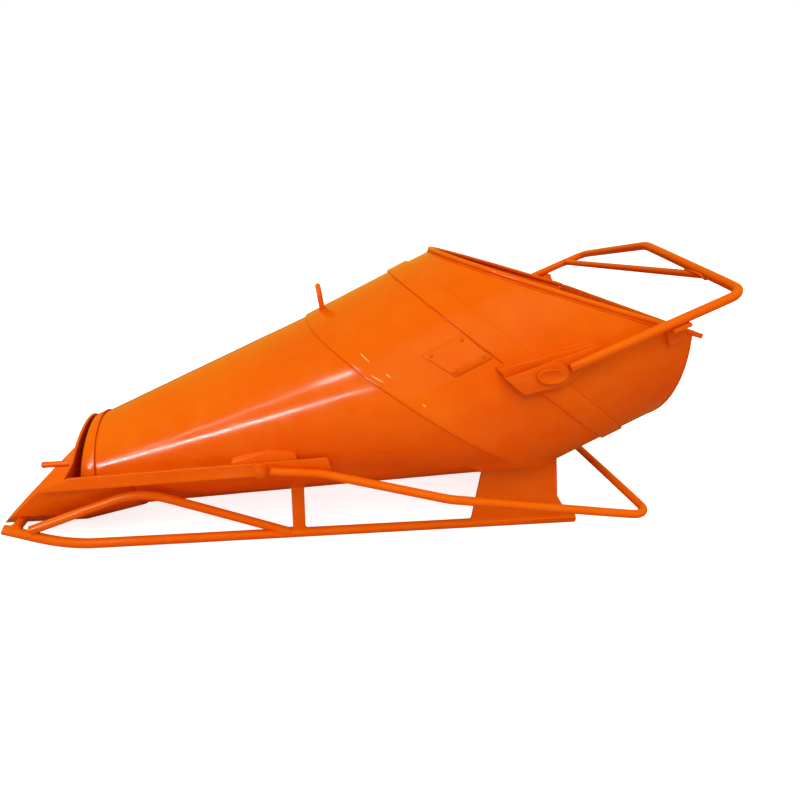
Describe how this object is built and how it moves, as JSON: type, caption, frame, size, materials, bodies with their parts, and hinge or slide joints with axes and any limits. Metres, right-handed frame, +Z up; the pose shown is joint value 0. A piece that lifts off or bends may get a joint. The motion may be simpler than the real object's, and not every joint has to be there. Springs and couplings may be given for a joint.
{
  "type": "sled bucket",
  "caption": "Laydown concrete bucket: a slanted drum and cone on a pipe sled, with a lever-worked outlet gate over a trough and a swinging lifting bail.",
  "frame": {"origin": "on the ground under the middle of the bounding box, between the runners", "axes": "+X from the outlet towards the mouth and the bail, +Y to the right when facing the outlet end, +Z up"},
  "size_m": [2.2662, 1.0716, 0.974],
  "materials": {
    "shell_paint": "glossy orange enamel over rolled steel sheet",
    "sled_paint": "glossy orange enamel over steel pipe and plate",
    "gate_paint": "glossy orange enamel over steel strip and bar",
    "bail_paint": "glossy orange enamel over round bar",
    "pin_paint": "orange enamel over steel pins and rivets"
  },
  "bodies": {
    "bucket": {"cone_shell": "shell_paint", "drum_shell": "shell_paint", "end_plate": "shell_paint", "end_lip": "shell_paint", "rim_bar": "shell_paint", "drum_band": "shell_paint", "outlet_collar": "shell_paint", "name_plate": "shell_paint", "name_rivet_1": "pin_paint", "name_rivet_2": "pin_paint", "name_rivet_3": "pin_paint", "name_rivet_4": "pin_paint", "tag_eye": "shell_paint", "runner_l": "sled_paint", "runner_r": "sled_paint", "hump_bar_l": "sled_paint", "hump_bar_r": "sled_paint", "post_l": "sled_paint", "post_r": "sled_paint", "rear_plate_l": "sled_paint", "rear_plate_r": "sled_paint", "front_stay_l": "sled_paint", "front_stay_r": "sled_paint", "rear_crossbar": "sled_paint", "trough": "shell_paint", "gate_pad_l": "shell_paint", "gate_pad_r": "shell_paint", "gate_pin_l": "pin_paint", "gate_pin_r": "pin_paint", "bail_base_l": "shell_paint", "bail_base_r": "shell_paint", "bail_strap_l": "shell_paint", "bail_strap_r": "shell_paint", "bail_pin_l": "pin_paint", "bail_pin_r": "pin_paint", "bail_stop_l": "shell_paint", "bail_stop_r": "shell_paint"},
    "gate": {"gate_arm_l": "gate_paint", "gate_arm_r": "gate_paint", "lever_hub_l": "gate_paint", "lever_hub_r": "gate_paint", "lever_bar": "gate_paint", "closing_plate": "gate_paint", "gate_stub": "gate_paint"},
    "bail": {"bail_eye_l": "bail_paint", "bail_eye_r": "bail_paint", "bail_bar": "bail_paint", "bail_tie": "bail_paint"}
  },
  "joints": [
    {"name": "gate_hinge", "type": "hinge", "parent": "bucket", "child": "gate", "pos_m": [-0.23656, 0, 0.32], "axis": [0, 1, 0], "range_deg": [0, 30]},
    {"name": "bail_hinge", "type": "hinge", "parent": "bucket", "child": "bail", "pos_m": [0.58944, 0, 0.65], "axis": [0, -1, 0], "range_deg": [0, 100]}
  ]
}
